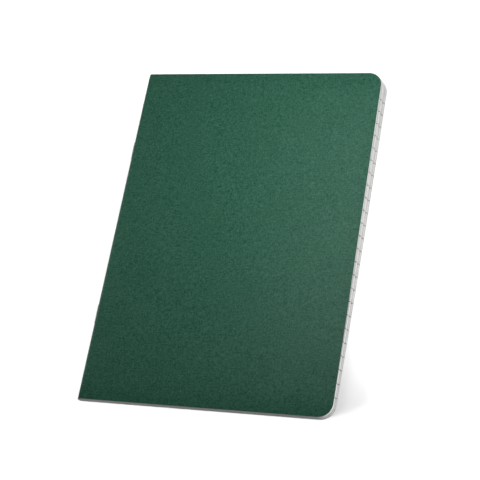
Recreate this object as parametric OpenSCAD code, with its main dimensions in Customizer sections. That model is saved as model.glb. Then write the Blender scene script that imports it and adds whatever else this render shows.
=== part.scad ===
// A soft-covered exercise notebook, stapled through the fold, lying closed on its back cover.
// X runs from the spine to the fore-edge, Y from the tail to the head, Z from the back cover up.

/* [Cover] */
// Width of the closed cover, from the spine to the fore-edge
book_w = 148; // [100:1:210]
// Height of the cover, from the tail to the head
book_h = 210; // [150:1:300]
// Thickness of the cover's card
card_t = 0.35; // [0.25:0.05:0.6]
// Radius of the two rounded corners at the fore-edge
corner_r = 8; // [3:0.5:15]

/* [Pages] */
// Number of leaves, two to each folded sheet
leaf_count = 40; // [20:4:80]
// Thickness of one leaf
leaf_t = 0.0925; // [0.07:0.0025:0.12]
// Air between two neighbouring leaves at the fore-edge
leaf_gap = 0.08; // [0.02:0.01:0.12]
// Air between two groups of leaves at the fore-edge, where the block falls open a little
group_gap = 0.8; // [0.2:0.05:2]
// How far the front cover's edge lies behind the back cover's. The leaves' edges lag half as much.
fore_step = 1.8; // [0:0.1:2.4]

/* [Staples] */
// Diameter of the wire
wire_d = 0.5; // [0.4:0.05:0.6]
// Length of a staple along the spine, over its two legs
staple_w = 12; // [9:0.5:16]
// Length of each bent-over leg end inside the fold
clinch_w = 3.5; // [2:0.5:3.5]
// Distance of a staple's middle from the head or the tail
staple_in = 52; // [20:1:60]

/* [Fits] */
// Air between the leaves and the card
page_fit = 0.05; // [0.03:0.01:0.1]
// Air around the wire
wire_fit = 0.05; // [0.02:0.01:0.1]

/* [Hidden] */
$fn = 64;

// The fold: half a turn of card around half a turn of paper, both about one centre line
page_fold_r = leaf_count * leaf_t / 2;
card_in_r = page_fold_r + page_fit;
card_out_r = card_in_r + card_t;

// The crown of a staple stands outside the spine, and the object's box is centred over both
proud = wire_fit + wire_d;
spine_x = -(book_w - proud) / 2;
fore_x = spine_x + book_w;
fold_x = spine_x + card_out_r;
fold_z = card_out_r;

// The leaves lie in three groups, a quarter, a half and a quarter of them
lower_border = round(leaf_count / 4);
upper_border = leaf_count - lower_border;
function borders_under(k) = (k >= lower_border ? 1 : 0) + (k >= upper_border ? 1 : 0);
// How far the fan lifts leaf k at the fore-edge
function leaf_rise(k) = k * leaf_gap + borders_under(k) * (group_gap - leaf_gap);
fan_rise = leaf_rise(leaf_count - 1);
gape_angle = atan(fan_rise / (fore_x - fold_x));
fore_height = 2 * card_out_r + fan_rise;

// Height of the underside of leaf k at the fold, and the three corners that it adds to the section
function leaf_z(k) = fold_z - page_fold_r + k * leaf_t;
function leaf_corners(k) = [
    [fold_x, leaf_z(k)],
    [fore_x, leaf_z(k) + leaf_rise(k)],
    [fore_x, leaf_z(k + 1) + leaf_rise(k)]
];

// Each cover turns about a line just outside the staples, halfway between the fold's middle and its
// top or bottom. It parts from the spine along the plane through that line and the fold's centre line,
// so that it moves clear of the spine, the leaves and the staples all the way.
hinge_out = proud + wire_fit;
hinge_up = card_out_r / 2;
parting_angle = atan(hinge_up / (card_out_r + hinge_out));

// Lines of the wire: the crown outside the card, and the bent ends inside the innermost sheet
crown_x = spine_x - proud + wire_d / 2;
clinch_x = fold_x + wire_d;
leg_y = (staple_w - wire_d) / 2;
bend_r = wire_d;
bend_y = leg_y - bend_r;
staple_y = book_h / 2 - staple_in;

// Extrudes a section, drawn with its height as the second coordinate, from the tail to the head
module along_spine() {
    rotate([90, 0, 0])
        linear_extrude(book_h, center = true)
            children();
}

// The trimmed outline of cover and leaves, seen from its fore-edge: rounded there, and open past the
// spine by a card's thickness, so that only the fore-edge and its corners are cut
module trim_outline() {
    trim_w = book_w + card_t;
    translate([-trim_w, -book_h / 2]) square([trim_w - corner_r, book_h]);
    translate([-trim_w, corner_r - book_h / 2]) square([trim_w, book_h - 2 * corner_r]);
    for (end = [-1, 1])
        translate([-corner_r, end * (book_h / 2 - corner_r)]) circle(r = corner_r);
}

// What the knife leaves of a section that runs along the spine. The cut leans back by a step over the
// height of the fore-edge.
module trimmed(step) {
    intersection() {
        along_spine() children();
        translate([fore_x, 0, 0])
            rotate([0, -atan(step / fore_height), 0])
                linear_extrude(2 * book_w, center = true) trim_outline();
    }
}

// The folded card between two directions, seen from the fold's centre
module fold_sector(low, high) {
    function ray(angle) = 2 * card_out_r * [cos(angle), sin(angle)];
    intersection() {
        difference() {
            circle(r = card_out_r);
            circle(r = card_in_r);
        }
        polygon([[0, 0], ray(low), ray((low + high) / 2), ray(high)]);
    }
}

// A cover, seen from the fold's centre: its share of the fold, and the flat panel that it runs into.
// The panel lies along +X at the top, and lift turns it up from there.
module cover_section(lift) {
    fold_sector(90 + lift, 180 - parting_angle);
    rotate(lift) translate([0, card_in_r]) square([book_w, card_t]);
}

// The leaves: a half-round fold, from which they fan out to the fore-edge
module page_section() {
    intersection() {
        translate([fold_x, fold_z]) circle(r = page_fold_r);
        translate([fold_x - page_fold_r, fold_z - page_fold_r]) square([page_fold_r, 2 * page_fold_r]);
    }
    polygon(concat(
        [[fold_x - page_fold_r / 2, fold_z]],
        [for (k = [0 : leaf_count - 1], corner = leaf_corners(k)) corner],
        [[fold_x, leaf_z(leaf_count)]]
    ));
}

// One staple at the height y, or with a margin the room that it needs
module staple(y, margin = 0) {
    d = wire_d + 2 * margin;
    translate([0, y, fold_z]) {
        translate([crown_x, 0, 0]) rotate([90, 0, 0]) cylinder(h = 2 * bend_y, d = d, center = true);
        for (side = [0, 1])
            mirror([0, side, 0]) {
                translate([crown_x + bend_r, bend_y, 0]) rotate([0, 0, 90]) wire_bend(d);
                translate([crown_x + bend_r, leg_y, 0])
                    rotate([0, 90, 0])
                        cylinder(h = clinch_x - crown_x - 2 * bend_r, d = d);
                translate([clinch_x - bend_r, bend_y, 0]) wire_bend(d);
                translate([clinch_x, bend_y, 0])
                    rotate([90, 0, 0])
                        cylinder(h = clinch_w - wire_d + margin, d = d);
            }
    }
}

// A quarter turn of wire, from +X to +Y about the origin
module wire_bend(d) {
    rotate_extrude(angle = 90) translate([bend_r, 0]) circle(d = d);
}

module staples_room() {
    for (end = [-1, 1]) staple(end * staple_y, wire_fit);
}

module back_cover() {
    color([0.17, 0.32, 0.26])
        trimmed(fore_step) translate([fold_x, fold_z]) mirror([0, 1]) cover_section(0);
}

module front_cover() {
    color([0.19, 0.35, 0.28])
        trimmed(fore_step) translate([fold_x, fold_z]) cover_section(gape_angle);
}

// The strip of the cover that the staples hold, between the two covers
module cover_spine() {
    color([0.18, 0.33, 0.27])
        difference() {
            trimmed(fore_step)
                translate([fold_x, fold_z]) fold_sector(180 - parting_angle, 180 + parting_angle);
            staples_room();
        }
}

module page_block() {
    color([0.93, 0.93, 0.91])
        difference() {
            trimmed(fore_step / 2) page_section();
            staples_room();
        }
}

module staple_head() {
    color([0.75, 0.75, 0.77]) staple(staple_y);
}

module staple_tail() {
    color([0.75, 0.75, 0.77]) staple(-staple_y);
}

back_cover();
cover_spine();
page_block();
staple_head();
staple_tail();
front_cover();
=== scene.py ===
"""A stapled exercise notebook in dark green card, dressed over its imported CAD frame."""

import math

import bmesh
import bpy
from bpy.props import FloatProperty, FloatVectorProperty, IntProperty, PointerProperty
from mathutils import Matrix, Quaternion, Vector


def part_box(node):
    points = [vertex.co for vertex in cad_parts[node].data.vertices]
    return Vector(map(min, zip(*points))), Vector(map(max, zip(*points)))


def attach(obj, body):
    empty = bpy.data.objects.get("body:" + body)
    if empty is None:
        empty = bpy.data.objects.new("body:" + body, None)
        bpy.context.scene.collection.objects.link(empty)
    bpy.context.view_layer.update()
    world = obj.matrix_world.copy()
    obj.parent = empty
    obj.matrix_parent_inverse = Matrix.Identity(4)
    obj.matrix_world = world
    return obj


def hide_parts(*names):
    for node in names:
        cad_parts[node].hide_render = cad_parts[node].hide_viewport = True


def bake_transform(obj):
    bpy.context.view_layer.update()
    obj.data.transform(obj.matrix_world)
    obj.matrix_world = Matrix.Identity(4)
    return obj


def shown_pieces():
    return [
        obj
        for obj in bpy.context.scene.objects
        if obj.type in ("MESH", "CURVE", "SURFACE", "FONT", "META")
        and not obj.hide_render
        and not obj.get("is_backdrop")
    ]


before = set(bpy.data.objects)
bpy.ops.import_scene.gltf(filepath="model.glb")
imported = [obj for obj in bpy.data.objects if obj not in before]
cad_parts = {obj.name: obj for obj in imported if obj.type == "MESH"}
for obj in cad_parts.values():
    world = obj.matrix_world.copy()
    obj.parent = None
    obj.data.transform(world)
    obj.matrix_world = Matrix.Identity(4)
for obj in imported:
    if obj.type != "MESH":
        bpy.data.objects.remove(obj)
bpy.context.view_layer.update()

bl_info = {
    "name": "Exercise notebook",
    "version": (1, 0, 0),
    "blender": (4, 5, 0),
    "location": "View3D > Sidebar > Notebook",
    "description": "Builds the card cover, leaves, staples and stage of a stapled notebook",
    "category": "Object",
}

# Places and sizes that the CAD frame fixes, in metres. X runs from the spine to the fore-edge, Y from
# the tail to the head, and Z up from the back cover.
SPINE_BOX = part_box("cover_spine")
PAGE_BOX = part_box("page_block")
FRONT_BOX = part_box("front_cover")
BACK_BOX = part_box("back_cover")
SPINE_X = SPINE_BOX[0].x
FORE_X = BACK_BOX[1].x
BACK_Z = BACK_BOX[0].z
BOOK_H = BACK_BOX[1].y - BACK_BOX[0].y

# The fold: half a turn of card round half a turn of paper, about the line at FOLD_X and FOLD_Z
FOLD_Z = (SPINE_BOX[0].z + SPINE_BOX[1].z) / 2
CARD_R = FOLD_Z - BACK_Z
PAGE_R = FOLD_Z - PAGE_BOX[0].z
FOLD_X = SPINE_X + CARD_R
PANEL_W = FORE_X - FOLD_X

# The front cover's fore-edge: its place, its height, and how far the fan lifts it
FRONT_X = FRONT_BOX[1].x
TOP_Z = FRONT_BOX[1].z
FAN = TOP_Z - 2 * CARD_R

# How near counts as the same place, and how far from the spine a card may end, in metres
NEAR = 1e-5
SPINE_PLAY = 2e-4

# Faces of a card and of a leaf, from the fold to the fore-edge and from the tail to the head
CARD_FACES = (12, 16)
LEAF_FACES = (6, 10)

# Steps of a sheet's half turn at the fold, of a rounded corner, and of the card's rounded edges
SHEET_FOLD_STEPS = 12
CORNER_STEPS = 10
ROUNDING_STEPS = 2

# Angles, in radians, from which an edge counts as cut, and from which it is shaded as sharp
CUT_ANGLE = 1.0
SHARP_ANGLE = math.radians(35)

# Widths of the spots or marks of each grain, in metres
CARD_MOTTLE = 0.0009
CARD_FIBRE = 0.0006
CARD_CLOUD = 0.018
INSIDE_GRAIN = 0.0007
PAPER_GRAIN = 0.0005
WIRE_MARK = 0.00008

# The floor lies just under the notebook, and two wide low lamps over it keep it white
ORIGIN = (0, 0, 0)
FLOOR_SIZE = 6
FLOOR_Z = -0.0002
WASH_HEIGHT = 0.03
WASH_SPREAD = math.radians(120)

# The camera, fitted to the cover's outline in a picture 480 pixels wide
CAMERA_PLACE = (0.281746, -0.370984, 0.791596)
CAMERA_AIM = (0.002246, -0.001527, 0)
CAMERA_ROLL = math.radians(-30.586)
FOCAL_PIXELS = 1608.395
PICTURE_PIXELS = 480
SENSOR_MM = 36


def millimetres(name, description, default):
    """A length, given in millimetres, that the sidebar shows in the scene's units."""
    return FloatProperty(
        name=name,
        description=description,
        default=default / 1000,
        min=0.0,
        subtype="DISTANCE",
        unit="LENGTH",
        precision=5,
    )


def paint(name, description, default):
    """A colour that the sidebar shows as a swatch."""
    return FloatVectorProperty(
        name=name,
        description=description,
        default=default,
        size=3,
        min=0.0,
        max=1.0,
        subtype="COLOR",
    )


def lamp_power(name, lamp, default):
    """The power of an area lamp, in watts."""
    return FloatProperty(
        name=name, description=f"Power of {lamp}", default=default, min=0.0, unit="POWER"
    )


def light_strength(name, light, default):
    """The strength of a sun or of the world, which has no unit."""
    return FloatProperty(name=name, description=f"Strength of {light}", default=default, min=0.0)


class NotebookCard(bpy.types.PropertyGroup):
    """The folded card of the cover"""

    thickness: millimetres("Card thickness", "Thickness of the cover's card", 0.35)
    corner: millimetres("Corner radius", "Radius of the corners at the fore-edge", 8)
    rounding: millimetres("Edge rounding", "Rounding of the card's cut edges", 0.06)
    fold_steps: IntProperty(
        name="Fold steps",
        description="Strips in a quarter turn of the fold",
        default=14,
        min=4,
    )
    dark: paint("Dark fibres", "Colour between the fibres of the card", (0.0023, 0.0598, 0.0276))
    light: paint("Light fibres", "Colour of the raised fibres of the card", (0.061, 0.175, 0.123))
    inside: paint("Inside", "Colour of the uncoated inside of the card", (0.046, 0.136, 0.090))


class NotebookLeaves(bpy.types.PropertyGroup):
    """The ruled leaves, and how they fan out"""

    sheets: IntProperty(
        name="Sheets", description="Folded sheets, each of two leaves", default=20, min=4
    )
    gap: millimetres("Leaf gap", "Air between neighbouring leaves at the fore-edge", 0.08)
    group_gap: millimetres("Group gap", "Air between two groups of leaves", 0.8)
    group_step: millimetres("Group step", "Step between the edges of two groups", 0.8)
    tail_drop: FloatProperty(
        name="Tail drop",
        description="Share of the fan that has closed again at the tail",
        default=0.95,
        min=0.0,
        max=1.0,
        subtype="FACTOR",
    )
    tail_slide: millimetres(
        "Tail slide", "How far the leaves and the back cover draw back at the tail", 1.5
    )
    first_line: millimetres("First line", "Height of the lowest ruled line over the tail", 12.2)
    line_pitch: millimetres("Line pitch", "Distance between two ruled lines", 7.9)
    line_width: millimetres("Line width", "Width of a ruled line", 0.38)
    lines: IntProperty(name="Lines", description="Ruled lines on a page", default=24, min=1)
    paper: paint("Paper", "Colour of the paper", (0.80, 0.80, 0.785))
    ink: paint("Ink", "Colour of the ruled lines", (0.06, 0.065, 0.07))


class NotebookWire(bpy.types.PropertyGroup):
    """The wire of the staples"""

    steel: paint("Steel", "Colour of the staple wire", (0.60, 0.60, 0.61))


class NotebookStage(bpy.types.PropertyGroup):
    """The floor and the light"""

    floor: paint("Floor", "Colour of the floor", (0.95, 0.95, 0.95))
    bounce: paint("Bounce", "Colour of the light that the floor throws back", (0.18, 0.18, 0.18))
    fill: light_strength("Fill", "the even light from all round", 0.196)
    key_power: lamp_power("Key lamp", "the lamp over the head half of the fore-edge", 0.322)
    spine_power: lamp_power("Spine lamp", "the low lamp beside the spine", 0.278)
    edge_power: lamp_power("Edge lamp", "the low lamp that faces the leaves' fore-edge", 3.7)
    back_power: lamp_power("Back lamp", "the low lamp that faces the leaves' head", 2.0)
    floor_sun: light_strength("Floor sun", "the high, soft sun on the floor", 1.42)
    side_sun: light_strength("Side sun", "the sun that casts the near shadow", 1.3)
    low_sun: light_strength("Low sun", "the sun that casts the long shadow", 4.2)
    head_power: lamp_power("Head lamp", "the lamp over the floor beyond the head", 0.03)
    fore_power: lamp_power("Fore-edge lamp", "the lamp over the floor beside the fore-edge", 0.055)


class Shade:
    """One output of a finish's nodes. Python's operators on it add Math nodes."""

    def __init__(self, finish, socket):
        self.finish = finish
        self.socket = socket

    def maths(self, operation, first, second=0.0):
        """A Math node on one or two values."""
        return self.finish.node("ShaderNodeMath", {"operation": operation}, {0: first, 1: second})

    def __add__(self, other):
        return self.maths("ADD", self, other)

    def __radd__(self, other):
        return self.maths("ADD", other, self)

    def __sub__(self, other):
        return self.maths("SUBTRACT", self, other)

    def __rsub__(self, other):
        return self.maths("SUBTRACT", other, self)

    def __mul__(self, other):
        return self.maths("MULTIPLY", self, other)

    def __rmul__(self, other):
        return self.maths("MULTIPLY", other, self)

    def __truediv__(self, other):
        return self.maths("DIVIDE", self, other)

    def __lt__(self, other):
        return self.maths("LESS_THAN", self, other)

    def __gt__(self, other):
        return self.maths("GREATER_THAN", self, other)

    def __abs__(self):
        return self.maths("ABSOLUTE", self)

    def fraction(self):
        return self.maths("FRACT", self)


class Finish:
    """The nodes of a new material or world, and the one way in which they are added."""

    def __init__(self, owner):
        owner.use_nodes = True
        self.owner = owner
        self.tree = owner.node_tree
        self.tree.nodes.clear()

    def node(self, kind, settings=None, inputs=None, output=0):
        """Adds a node with its settings, then the values or links of its sockets."""
        made = self.tree.nodes.new(kind)
        for name, value in (settings or {}).items():
            setattr(made, name, value)
        for name, value in (inputs or {}).items():
            socket = made.inputs[name]
            if isinstance(value, Shade):
                self.tree.links.new(value.socket, socket)
            elif socket.type == "RGBA" and len(value) == 3:
                socket.default_value = (*value, 1.0)
            else:
                socket.default_value = value
        return Shade(self, made.outputs[output]) if made.outputs else None

    def place(self):
        """The place on the object, in metres."""
        return self.node("ShaderNodeTexCoord", output="Object")

    def stretched(self, place, scale):
        """The place, drawn out along an axis where its scale is small."""
        return self.node("ShaderNodeMapping", inputs={"Vector": place, "Scale": scale})

    def noise(self, place, size, detail=2.0, roughness=0.5):
        """Noise whose spots are about size metres wide."""
        return self.node(
            "ShaderNodeTexNoise",
            inputs={"Vector": place, "Scale": 1 / size, "Detail": detail, "Roughness": roughness},
        )

    def between(self, factor, first, second):
        """A mix of two colours, which have sockets 6 and 7 and output 2 of a Mix node."""
        return self.node(
            "ShaderNodeMix", {"data_type": "RGBA"}, {0: factor, 6: first, 7: second}, output=2
        )

    def surface(self, inputs, bump, strength, depth):
        """Ends the material in a plain surface shader, with a bump whose depth is in metres."""
        normal = self.node(
            "ShaderNodeBump", inputs={"Height": bump, "Strength": strength, "Distance": depth}
        )
        shader = self.node("ShaderNodeBsdfPrincipled", inputs={**inputs, "Normal": normal})
        self.node("ShaderNodeOutputMaterial", inputs={"Surface": shader})
        return self.owner


def card_finish(card):
    """Dyed card with a fine felt-like grain: pale fibres over darker ones, both slightly drawn out."""
    finish = Finish(bpy.data.materials.new("card_outside"))
    place = finish.place()
    grain = finish.noise(place, CARD_MOTTLE, detail=3.0, roughness=0.6)
    along = finish.noise(finish.stretched(place, (1.0, 0.25, 1.0)), CARD_FIBRE)
    across = finish.noise(finish.stretched(place, (0.25, 1.0, 1.0)), CARD_FIBRE)
    cloud = finish.noise(place, CARD_CLOUD)
    fibres = 0.5 * grain + 0.25 * along + 0.25 * across
    # All noise stays near 0.5, so its distance from there is scaled to reach both colours.
    fibre_contrast, cloud_contrast = 2.9, 0.12
    tone = (fibres - 0.5) * fibre_contrast + (cloud - 0.5) * cloud_contrast + 0.5
    return finish.surface(
        {
            "Base Color": finish.between(tone, card.dark, card.light),
            "Roughness": 0.30 + 0.13 * grain,
            "Specular IOR Level": 0.115,
        },
        bump=fibres,
        strength=0.35,
        depth=0.00004,
    )


def card_inside_finish(card):
    """The inside and the cut edges of the card, duller than the outside."""
    finish = Finish(bpy.data.materials.new("card_inside"))
    grain = finish.noise(finish.place(), INSIDE_GRAIN, detail=3.0, roughness=0.6)
    deep, pale = (tuple(share * part for part in card.inside) for share in (0.7, 1.3))
    return finish.surface(
        {
            "Base Color": finish.between(grain, deep, pale),
            "Roughness": 0.75 + 0.15 * grain,
            "Specular IOR Level": 0.3,
        },
        bump=grain,
        strength=0.2,
        depth=0.00003,
    )


def paper_finish(leaves):
    """White writing paper, with the ruled lines that run out to the cut edges."""
    finish = Finish(bpy.data.materials.new("ruled_paper"))
    place = finish.place()
    height = finish.node("ShaderNodeSeparateXYZ", inputs={"Vector": place}, output="Y")
    # Counted in lines from the lowest one, a whole number is the middle of a line.
    line = (height + (BOOK_H / 2 - leaves.first_line)) / leaves.line_pitch
    off = abs((line + 0.5).fraction() - 0.5)
    on_line = off < leaves.line_width / leaves.line_pitch / 2
    ruled = on_line * (line > -0.5) * (line < leaves.lines - 0.5)
    fibres = finish.noise(place, PAPER_GRAIN, detail=3.0, roughness=0.6)
    shade = tuple(0.93 * part for part in leaves.paper)
    white = finish.between(fibres, shade, leaves.paper)
    ink_cover = 0.9
    return finish.surface(
        {
            "Base Color": finish.between(ruled * ink_cover, white, leaves.ink),
            "Roughness": 0.8 + 0.1 * fibres,
            "Specular IOR Level": 0.25,
        },
        bump=fibres,
        strength=0.15,
        depth=0.00002,
    )


def wire_finish(wire):
    """Drawn steel wire, with fine marks along it."""
    finish = Finish(bpy.data.materials.new("staple_wire"))
    drawn = finish.noise(finish.stretched(finish.place(), (1.0, 0.05, 1.0)), WIRE_MARK)
    return finish.surface(
        {"Base Color": wire.steel, "Metallic": 1.0, "Roughness": 0.22 + 0.2 * drawn},
        bump=drawn,
        strength=0.2,
        depth=0.00001,
    )


def pick(piece, kind, test):
    """In edit mode, selects the vertices that pass the test, and the edges and faces between them."""
    bpy.ops.mesh.select_mode(type="VERT")
    bpy.ops.mesh.select_all(action="DESELECT")
    mesh = bmesh.from_edit_mesh(piece.data)
    for vertex in mesh.verts:
        vertex.select_set(test(vertex.co))
    mesh.select_flush(True)
    bmesh.update_edit_mesh(piece.data)
    if kind != "VERT":
        bpy.ops.mesh.select_mode(type=kind)


def panel(name, x_low, x_high, z_low, z_high, faces):
    """A flat sheet from tail to head between two places in the section, open for editing."""
    bpy.ops.object.select_all(action="DESELECT")
    run = Vector((x_high - x_low, 0, z_high - z_low))
    bpy.ops.mesh.primitive_grid_add(
        x_subdivisions=faces[0],
        y_subdivisions=faces[1],
        size=1,
        location=((x_low + x_high) / 2, 0, (z_low + z_high) / 2),
        rotation=(0, -math.atan2(run.z, run.x), 0),
    )
    piece = bpy.context.active_object
    piece.name = piece.data.name = name
    piece.scale = (run.length, BOOK_H, 1)
    bpy.ops.object.transform_apply(location=True, rotation=True, scale=True)
    bpy.ops.object.mode_set(mode="EDIT")
    return piece


def turn_fold(piece, steps, angle):
    """Spins the panel's spine edge round the fold's centre line."""
    low = min(vertex.co.x for vertex in bmesh.from_edit_mesh(piece.data).verts)
    pick(piece, "EDGE", lambda place: place.x < low + NEAR)
    bpy.ops.mesh.spin(
        steps=steps, angle=angle, center=(FOLD_X, 0, FOLD_Z), axis=(0, 1, 0), dupli=False
    )


def clean(piece, side):
    """Merges doubles and points the faces outwards. The side is 1 where the outermost face is the
    highest one, and -1 where it is the lowest."""
    bpy.ops.mesh.select_all(action="SELECT")
    bpy.ops.mesh.remove_doubles(threshold=NEAR / 10)
    bpy.ops.mesh.normals_make_consistent(inside=False)
    mesh = bmesh.from_edit_mesh(piece.data)
    mesh.faces.ensure_lookup_table()
    probe = max(mesh.faces, key=lambda face: side * face.calc_center_median().z)
    if probe.normal.z * side < 0:
        bpy.ops.mesh.flip_normals()
    bpy.ops.mesh.select_all(action="DESELECT")


def round_corners(piece, radius, edge_x):
    """Rounds the corners that lie at edge_x or past it, and ends the editing."""
    pick(
        piece,
        "VERT",
        lambda place: place.x > edge_x - NEAR and abs(place.y) > BOOK_H / 2 - NEAR,
    )
    bpy.ops.mesh.bevel(offset=radius, segments=CORNER_STEPS, profile=0.5, affect="VERTICES")
    bpy.ops.object.mode_set(mode="OBJECT")


def shares(place):
    """How far a place lies from the fold to the fore-edge, and from the head to the tail."""
    return min(max((place.x - FOLD_X) / PANEL_W, 0.0), 1.0), 0.5 - place.y / BOOK_H


def close_tail(piece, rise_at, drop):
    """Lowers each point by its share of the rise that rise_at gives, so that the notebook gapes
    most at the head."""
    for vertex in piece.data.vertices:
        reach, tail = shares(vertex.co)
        vertex.co.z -= rise_at(vertex.co, reach) * reach * tail * drop


def draw_back(piece, slide):
    """Lets the fore-edge curve back towards the tail, as soft leaves slide."""
    for vertex in piece.data.vertices:
        reach, tail = shares(vertex.co)
        vertex.co.x -= slide * reach * tail**3


def thicken(piece, thickness, **settings):
    """Gives a piece its thickness, inwards from its faces."""
    modifier = piece.modifiers.new("Thickness", "SOLIDIFY")
    modifier.thickness = thickness
    modifier.offset = -1
    modifier.use_even_offset = True
    for name, value in settings.items():
        setattr(modifier, name, value)
    bpy.ops.object.select_all(action="DESELECT")
    piece.select_set(True)
    bpy.context.view_layer.objects.active = piece
    bpy.ops.object.modifier_apply(modifier=modifier.name)


def soften_card_edges(piece, rounding):
    """Rounds the cut edges of the card a little, but not the cut at the middle of the fold."""
    bpy.ops.object.mode_set(mode="EDIT")
    bpy.ops.mesh.select_mode(type="EDGE")
    bpy.ops.mesh.select_all(action="DESELECT")
    mesh = bmesh.from_edit_mesh(piece.data)
    for edge in mesh.edges:
        at_fold = all(
            abs(end.co.z - FOLD_Z) < NEAR and end.co.x < FOLD_X for end in edge.verts
        )
        edge.select_set(
            len(edge.link_faces) == 2 and edge.calc_face_angle() > CUT_ANGLE and not at_fold
        )
    bmesh.update_edit_mesh(piece.data)
    bpy.ops.mesh.bevel(offset=rounding, segments=ROUNDING_STEPS, profile=0.5, affect="EDGES")
    bpy.ops.object.mode_set(mode="OBJECT")


def finish_card(piece, card, materials):
    """Gives a card panel its thickness, softened edges and materials: the first outside, and the
    second inside and on the cut edges."""
    for material in materials:
        piece.data.materials.append(material)
    thicken(piece, card.thickness, material_offset=1, material_offset_rim=1)
    soften_card_edges(piece, card.rounding)
    bpy.ops.object.shade_smooth_by_angle(angle=SHARP_ANGLE)


class NOTEBOOK_OT_covers(bpy.types.Operator):
    """Build the front and the back of the folded card"""

    bl_idname = "notebook.covers"
    bl_label = "Build the card cover"

    def execute(self, context):
        card = context.scene.notebook_card
        leaves = context.scene.notebook_leaves
        materials = [card_finish(card), card_inside_finish(card)]

        # The front panel runs up from the fold at a tangent.
        tilt = math.atan2(FAN, PANEL_W)
        start_x = FOLD_X - CARD_R * math.sin(tilt)
        start_z = FOLD_Z + CARD_R * math.cos(tilt)
        front = panel("front_card", start_x, FRONT_X, start_z, TOP_Z, CARD_FACES)
        turn_fold(front, card.fold_steps, math.pi / 2 - tilt)
        clean(front, 1)
        round_corners(front, card.corner, FRONT_X)
        close_tail(front, lambda place, reach: FAN, leaves.tail_drop)
        finish_card(front, card, materials)

        back = panel("back_card", FOLD_X, FORE_X, BACK_Z, BACK_Z, CARD_FACES)
        turn_fold(back, card.fold_steps, -math.pi / 2)
        clean(back, -1)
        round_corners(back, card.corner, FORE_X)
        draw_back(back, leaves.tail_slide)
        finish_card(back, card, materials)

        for piece, body, side in ((front, "front_cover", 1), (back, "back_cover", -1)):
            low = min(vertex.co.x for vertex in piece.data.vertices)
            if abs(low - SPINE_X) > SPINE_PLAY:
                raise RuntimeError(f"{piece.name} ends at {low:.5f} and not at the spine")
            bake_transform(piece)
        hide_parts("front_cover", "cover_spine")
        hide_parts("back_cover")
        return {"FINISHED"}


def leaf_group(index, leaves):
    """The group of a leaf, counted from below. A quarter, a half and a quarter lie together."""
    count = 2 * leaves.sheets
    quarter = round(count / 4)
    return (index >= quarter) + (index >= count - quarter)


def leaf_rise(index, leaves):
    """How far the fan lifts a leaf at the fore-edge."""
    return index * leaves.gap + leaf_group(index, leaves) * (leaves.group_gap - leaves.gap)


def folded_sheet(index, leaves, card, material):
    """One sheet: a leaf, half a turn of paper at the fold, and a second leaf."""
    thickness = PAGE_R / leaves.sheets
    radius = PAGE_R - index * thickness
    last = 2 * leaves.sheets - 1
    under = leaf_rise(index, leaves)
    over = leaf_rise(last - index, leaves)
    low_x = FORE_X - leaf_group(index, leaves) * leaves.group_step
    high_x = FORE_X - leaf_group(last - index, leaves) * leaves.group_step
    piece = panel(
        f"sheet_{index:02d}",
        FOLD_X,
        low_x,
        FOLD_Z - radius,
        FOLD_Z - radius + under,
        LEAF_FACES,
    )
    turn_fold(piece, SHEET_FOLD_STEPS, -math.pi)
    step = Vector((high_x - FOLD_X, 0, over)) / LEAF_FACES[0]
    for _ in range(LEAF_FACES[0]):
        bpy.ops.mesh.extrude_region_move(TRANSFORM_OT_translate={"value": step})
    clean(piece, 1)
    round_corners(piece, card.corner, min(low_x, high_x))

    def rise_at(place, reach):
        """The rise of the leaf, lower or upper, that the place is on."""
        middle = FOLD_Z + (under + over) / 2 * reach
        return over if place.z > middle else under

    close_tail(piece, rise_at, leaves.tail_drop)
    draw_back(piece, leaves.tail_slide)
    piece.data.materials.append(material)
    thicken(piece, thickness)
    bpy.ops.object.shade_smooth_by_angle(angle=SHARP_ANGLE)
    return piece


class NOTEBOOK_OT_leaves(bpy.types.Operator):
    """Build the nested, folded sheets of ruled paper"""

    bl_idname = "notebook.leaves"
    bl_label = "Build the leaves"

    def execute(self, context):
        leaves = context.scene.notebook_leaves
        card = context.scene.notebook_card
        material = paper_finish(leaves)
        sheets = [
            folded_sheet(index, leaves, card, material) for index in range(leaves.sheets)
        ]
        bpy.ops.object.select_all(action="DESELECT")
        for sheet in sheets:
            sheet.select_set(True)
        bpy.context.view_layer.objects.active = sheets[0]
        bpy.ops.object.join()
        block = bpy.context.active_object
        block.name = block.data.name = "ruled_leaves"
        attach(block, "pages")
        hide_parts("page_block")
        return {"FINISHED"}


class NOTEBOOK_OT_staples(bpy.types.Operator):
    """Finish the two staples as drawn steel wire"""

    bl_idname = "notebook.staples"
    bl_label = "Finish the staples"

    def execute(self, context):
        steel = wire_finish(context.scene.notebook_wire)
        for name in ("staple_head", "staple_tail"):
            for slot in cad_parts[name].material_slots:
                slot.material = steel
        return {"FINISHED"}


def lamp_on(lit, kind, name, place, aim, power, **settings):
    """A lamp at a place, turned to its aim, that lights only some of the objects."""
    bpy.ops.object.light_add(type=kind, location=place)
    lamp = bpy.context.active_object
    lamp.name = lamp.data.name = name
    lamp.data.energy = power
    for setting, value in settings.items():
        setattr(lamp.data, setting, value)
    lamp.rotation_euler = (Vector(aim) - Vector(place)).to_track_quat("-Z", "Y").to_euler()
    receivers = bpy.data.collections.new(name)
    for piece in lit:
        receivers.objects.link(piece)
    lamp.light_linking.receiver_collection = receivers


def floor_finish(stage):
    """A floor that is white to the camera and in reflections, and throws back less light."""
    finish = Finish(bpy.data.materials.new("floor"))
    seen = finish.node("ShaderNodeLightPath", output="Is Camera Ray")
    mirrored = finish.node("ShaderNodeLightPath", output="Is Glossy Ray")
    colour = finish.between(seen + mirrored, stage.bounce, stage.floor)
    lit = finish.node("ShaderNodeBsdfDiffuse", inputs={"Color": colour})
    finish.node("ShaderNodeOutputMaterial", inputs={"Surface": lit})
    return finish.owner


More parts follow.
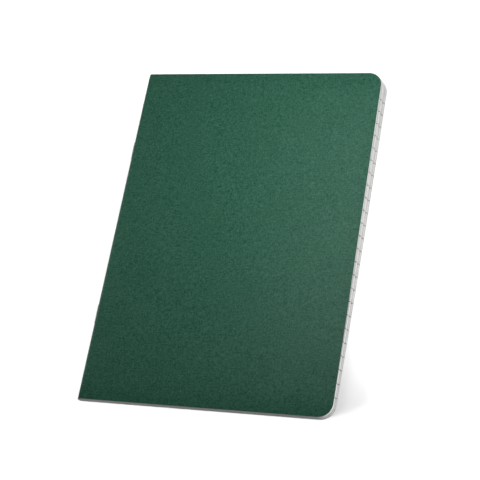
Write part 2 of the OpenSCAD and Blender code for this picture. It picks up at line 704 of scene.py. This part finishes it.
def world_light(fill):
    """Even white light from all round, which the camera sees as white."""
    light = Finish(bpy.data.worlds.new("studio"))
    seen = light.node("ShaderNodeLightPath", output="Is Camera Ray")
    level = seen + (1 - seen) * fill
    sky = light.node("ShaderNodeBackground", inputs={"Color": (1, 1, 1), "Strength": level})
    light.node("ShaderNodeOutputWorld", inputs={"Surface": sky})
    bpy.context.scene.world = light.owner


class NOTEBOOK_OT_stage(bpy.types.Operator):
    """Lay the floor, and set the lamps and the camera"""

    bl_idname = "notebook.stage"
    bl_label = "Set the stage"

    def execute(self, context):
        stage = context.scene.notebook_stage
        bpy.ops.object.select_all(action="DESELECT")
        bpy.ops.mesh.primitive_plane_add(size=FLOOR_SIZE, location=(0, 0, FLOOR_Z))
        floor = context.active_object
        floor.name = "floor"
        floor.data.materials.append(floor_finish(stage))
        floor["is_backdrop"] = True

        world_light(stage.fill)

        # Square lamps on the notebook, two of them on the leaves' cut edges alone
        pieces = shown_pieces()
        cut_leaves = [piece for piece in pieces if piece.name == "ruled_leaves"]
        for lit, name, place, aim, power, size in (
            (pieces, "key_lamp", (0.075, 0.066, 0.169), (0.075, 0.066, 0), stage.key_power, 0.2),
            (pieces, "spine_lamp", (-0.318, 0.06, 0.142), ORIGIN, stage.spine_power, 0.2),
            (cut_leaves, "edge_lamp", (0.78, -0.08, 0.06), (0.07, 0, 0), stage.edge_power, 0.12),
            (cut_leaves, "back_lamp", (-0.1, 0.8, 0.06), (0, 0.1, 0), stage.back_power, 0.12),
        ):
            lamp_on(lit, "AREA", name, place, aim, power, size=size)

        # Suns on the floor, the wider the softer, and the two low lamps that keep it white
        for name, place, power, degrees in (
            ("floor_sun", (0.25, -0.2, 1.1), stage.floor_sun, 35),
            ("side_sun", (-0.92, -0.34, 0.7), stage.side_sun, 50),
            ("low_sun", (-0.92, -0.34, 0.18), stage.low_sun, 20),
        ):
            lamp_on([floor], "SUN", name, place, ORIGIN, power, angle=math.radians(degrees))
        for name, x, y, power, width, depth in (
            ("head_lamp", 0.0, 0.135, stage.head_power, 0.2, 0.06),
            ("fore_lamp", 0.12, 0.019, stage.fore_power, 0.08, 0.182),
        ):
            lamp_on(
                [floor],
                "AREA",
                name,
                (x, y, WASH_HEIGHT),
                (x, y, 0),
                power,
                shape="RECTANGLE",
                size=width,
                size_y=depth,
                spread=WASH_SPREAD,
            )

        bpy.ops.object.camera_add(location=CAMERA_PLACE)
        camera = context.active_object
        camera.name = "camera"
        camera.rotation_mode = "QUATERNION"
        level = (Vector(CAMERA_AIM) - Vector(CAMERA_PLACE)).to_track_quat("-Z", "Y")
        camera.rotation_quaternion = level @ Quaternion((0, 0, 1), CAMERA_ROLL)
        camera.data.sensor_width = SENSOR_MM
        camera.data.lens = SENSOR_MM / PICTURE_PIXELS * FOCAL_PIXELS
        context.scene.camera = camera
        context.scene.view_settings.view_transform = "Standard"
        return {"FINISHED"}


class NOTEBOOK_PT_sidebar(bpy.types.Panel):
    """Sizes, colours and building steps of the notebook"""

    bl_idname = "NOTEBOOK_PT_sidebar"
    bl_label = "Exercise notebook"
    bl_space_type = "VIEW_3D"
    bl_region_type = "UI"
    bl_category = "Notebook"

    def draw(self, context):
        scene = context.scene
        for settings, operator in (
            (scene.notebook_card, NOTEBOOK_OT_covers),
            (scene.notebook_leaves, NOTEBOOK_OT_leaves),
            (scene.notebook_wire, NOTEBOOK_OT_staples),
            (scene.notebook_stage, NOTEBOOK_OT_stage),
        ):
            box = self.layout.box()
            for name in settings.__annotations__:
                box.prop(settings, name)
            box.operator(operator.bl_idname)


SETTINGS = {
    "notebook_card": NotebookCard,
    "notebook_leaves": NotebookLeaves,
    "notebook_wire": NotebookWire,
    "notebook_stage": NotebookStage,
}
OPERATORS = (NOTEBOOK_OT_covers, NOTEBOOK_OT_leaves, NOTEBOOK_OT_staples, NOTEBOOK_OT_stage)


def register():
    for name, group in SETTINGS.items():
        bpy.utils.register_class(group)
        setattr(bpy.types.Scene, name, PointerProperty(type=group))
    for cls in (*OPERATORS, NOTEBOOK_PT_sidebar):
        bpy.utils.register_class(cls)


def unregister():
    for cls in (NOTEBOOK_PT_sidebar, *reversed(OPERATORS)):
        bpy.utils.unregister_class(cls)
    for name, group in reversed(SETTINGS.items()):
        delattr(bpy.types.Scene, name)
        bpy.utils.unregister_class(group)


def main():
    """Builds the notebook by its operators."""
    register()
    bpy.ops.notebook.covers()
    bpy.ops.notebook.leaves()
    bpy.ops.notebook.staples()
    bpy.ops.notebook.stage()


if __name__ == "__main__":
    main()
